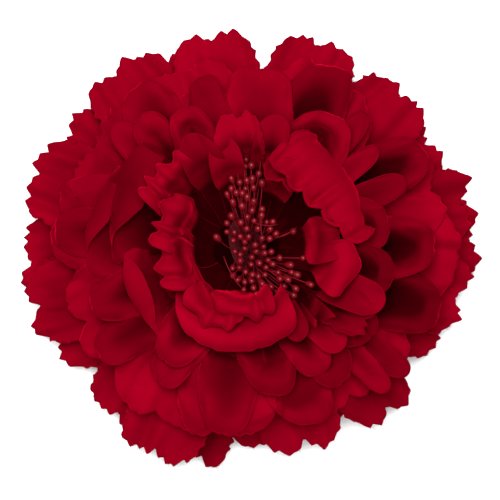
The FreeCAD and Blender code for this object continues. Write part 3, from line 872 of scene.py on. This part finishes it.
def make_felt_strip(material):
    """The strip that goes under the fixed arm and is glued down on both sides of it."""
    low, high = node_box("felt_patch")
    _, arm_high = node_box("clip_top_arm")
    half_arm = arm_high[1] + 0.65
    under = low[2] + 0.5
    flat = high[2] - 0.5
    corners = [
        (low[1], flat), (-half_arm - 0.7, flat), (-half_arm, under + 0.4), (-half_arm + 0.8, under),
        (half_arm - 0.8, under), (half_arm, under + 0.4), (half_arm + 0.7, flat), (high[1], flat),
    ]
    count, rows = 120, 26
    line, run = even_points(np.array(corners, float), count)
    for _ in range(6):
        line[1:-1] = (line[:-2] + line[1:-1] * 2 + line[2:]) / 4
    draw = random.Random(22)
    wander = [uneven(draw, count, 0.12), uneven(draw, count, 0.12)]
    share = np.linspace(0, 1, rows)[:, None]
    x = (low[0] + 0.15 + wander[0]) * (1 - share) + (high[0] - 0.15 + wander[1]) * share
    points = np.stack([x, line[:, 0] + 0 * x, line[:, 1] + 0 * x], -1)
    made = mesh_object("felt_strip", points.reshape(-1, 3), [grid_faces(rows, count)], material)
    thickened(made, 0.9)
    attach(made, BODY)
    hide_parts("felt_patch")


def make_glue(material):
    """A lumpy pad of hot glue squeezed out round the base's flange."""
    draw = random.Random(23)
    low, high = node_box("glue_pad")
    flange = node_box("calyx_base")[1][0]
    sides = 140
    turns = np.linspace(0, 2 * math.pi, sides, endpoint=False)
    edge = high[0] - 0.6 + uneven(draw, sides, 0.9)
    swell = 0.45 + np.abs(uneven(draw, sides, 0.3))
    middle, top = (low[2] + high[2]) / 2, high[2]
    # Each ring: its share of the edge's radius (0 is at the flange), its height, and how much it swells up.
    rings = [
        (0.05, low[2], 0), (0.6, low[2], 0), (0.93, low[2], 0), (1.0, middle, 0),
        (0.985, top, 0.5), (0.94, top, 1.0), (0.0, top, 0.6), (0.0, top, 0),
    ]
    points = []
    for share, z, puff in rings:
        reach = edge * share if share > 0 else np.full(sides, flange * (0.99 if puff else 0.05))
        points.append(np.stack([reach * np.cos(turns), reach * np.sin(turns), z + puff * swell], -1))
    made = mesh_object("glue_blob", np.concatenate(points), tube_faces(len(rings), sides), material)
    smooth = made.modifiers.new("smooth", "SUBSURF")
    smooth.levels = smooth.render_levels = 1
    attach(made, BODY)
    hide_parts("glue_pad")


SPRING_RADIUS = 1.85  # to the middle of the wire
SPRING_WIRE = 0.68
SPRING_PITCH = 0.85
SPRING_TURNS = 3.5
SPRING_LEG = 8.0
SPRING_SIDES = 12
LEVER_BEND = 3.0  # from the pin to where the lever starts to slope
LEVER_ANGLE = math.radians(21.0)


def make_spring(material):
    """The torsion spring round the pin: one leg along the fixed arm, the other down the lever."""
    low, high = node_box("clip_pin")
    pivot = (low + high) / 2
    half = SPRING_TURNS * SPRING_PITCH / 2
    turn = np.linspace(0, 2 * math.pi * SPRING_TURNS, 170)
    y = np.linspace(-half, half, len(turn))
    x, z = pivot[0] - SPRING_RADIUS * np.sin(turn), pivot[2] + SPRING_RADIUS * np.cos(turn)
    coil = np.stack([x, y, z], -1)
    out = np.linspace(1, 0, 16, endpoint=False)[:, None]
    fixed = coil[0] + out * [SPRING_LEG, 0, 0]
    knee = coil[-1] + [LEVER_BEND, 0, 0]
    down = np.array([math.cos(LEVER_ANGLE), 0, -math.sin(LEVER_ANGLE)])
    level = coil[-1] + (1 - out) * [LEVER_BEND, 0, 0]
    sloping = knee + np.linspace(0, 0.75 * SPRING_LEG, 14)[:, None] * down
    path = np.concatenate([fixed, coil, level[1:], sloping])
    wire = lathe(path, np.full(len(path), SPRING_WIRE / 2), SPRING_SIDES)
    made = mesh_object("torsion_spring", wire, tube_faces(len(path), SPRING_SIDES), material)
    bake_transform(made)
    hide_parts("clip_spring")


def paint_nodes(materials):
    """Gives the CAD nodes that stay their own materials, by how their names start; a later entry wins."""
    for start, material in materials.items():
        for name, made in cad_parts.items():
            if name.startswith(start):
                made.data.materials.clear()
                made.data.materials.append(material)


# ---- frayed fibres on the cut edges ----
FIBRES_PER_PETAL = 16
FIBRE_RADIUS = 0.035


def make_fibres(rims, material):
    """Loose threads that stand out of the pinked edges."""
    draw = random.Random(31)
    points, faces, count = [], [], 0
    for rim, inner in rims:
        for _ in range(FIBRES_PER_PETAL):
            at = draw.randrange(2, len(rim) - 2)
            out = rim[at] - inner[at]
            out = out / np.linalg.norm(out)
            side = np.array([draw.gauss(0, 0.5), draw.gauss(0, 0.5), draw.gauss(0, 0.4)])
            reach = draw.uniform(0.5, 1.7)
            share = np.linspace(0, 1, 5)[:, None]
            path = rim[at] - 0.15 * out + reach * (share * out + share ** 2 * side)
            points.append(lathe(path, FIBRE_RADIUS * (1.15 - share[:, 0]), 3))
            faces += tube_faces(len(path), 3, count)
            count += len(points[-1])
    made = mesh_object("frayed_fibres", np.concatenate(points), faces, material)
    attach(made, BODY)


# ---- the scene ----
def make_petals(materials):
    stack = Stack()
    rims = []
    for seed, (name, specs) in enumerate(LAYERS.items()):
        rims += petal_layer(name, specs, stack, materials, seed + 1)
    make_fibres(rims, materials[1])


def area_light(name, place, aim, size, power, colour=(1, 1, 1)):
    data = bpy.data.lights.new(name, "AREA")
    data.energy = power
    data.size = size
    data.color = colour
    made = bpy.data.objects.new(name, data)
    bpy.context.scene.collection.objects.link(made)
    made.location = place
    direction = [a - p for a, p in zip(aim, place)]
    made.rotation_mode = "QUATERNION"
    made.rotation_quaternion = Vector(direction).to_track_quat("-Z", "Y")
    return made


CAMERA_HEIGHT = 0.75
PICTURE_WIDTH = 0.130  # what the camera sees at the floor


def make_stage():
    world = bpy.data.worlds.new("studio")
    world.use_nodes = True
    world.node_tree.nodes["Background"].inputs["Color"].default_value = (1, 1, 1, 1)
    world.node_tree.nodes["Background"].inputs["Strength"].default_value = 0.35
    bpy.context.scene.world = world
    area_light("key", (-0.05, 0.2, 0.86), (0, 0, 0.02), 0.4, 13.5)
    area_light("overhead", (0.0, 0.0, 0.9), (0, 0, 0.02), 0.4, 7.0)
    bpy.ops.mesh.primitive_grid_add(size=6.0, x_subdivisions=12, y_subdivisions=12, location=(0, 0, 0))
    floor = bpy.context.object
    floor.name = "floor"
    dark, light = (0.93, 0.93, 0.93), (0.935, 0.935, 0.935)
    floor.data.materials.append(mottled("white_floor", dark, light, 20.0, (0.75, 0.85)))
    camera_data = bpy.data.cameras.new("camera")
    camera_data.sensor_width = 36.0
    camera_data.lens = 36.0 * CAMERA_HEIGHT / PICTURE_WIDTH
    camera = bpy.data.objects.new("camera", camera_data)
    bpy.context.scene.collection.objects.link(camera)
    camera.location = (0.0005, 0.0, CAMERA_HEIGHT)
    bpy.context.scene.camera = camera
    bpy.context.scene.view_settings.view_transform = "Standard"


make_stage()
make_petals((velvet(), cut_edge()))
make_stamens(thread_dye(), bead_lacquer())
felt_wool = felt()
make_glue(hot_glue())
make_felt_disc(felt_wool)
make_felt_strip(felt_wool)
make_spring(steel("spring_wire", (0.30, 0.30, 0.31), (0.45, 0.45, 0.46)))
paint_nodes({
    "clip_": steel("plated_steel", (0.52, 0.52, 0.53), (0.68, 0.68, 0.69)),
    "clip_pin": steel("pin_steel", (0.38, 0.38, 0.39), (0.55, 0.55, 0.56)),
    "spacer_": plastic(),
    "calyx_base": plastic(),
    "stamen_holder": plastic(),
})
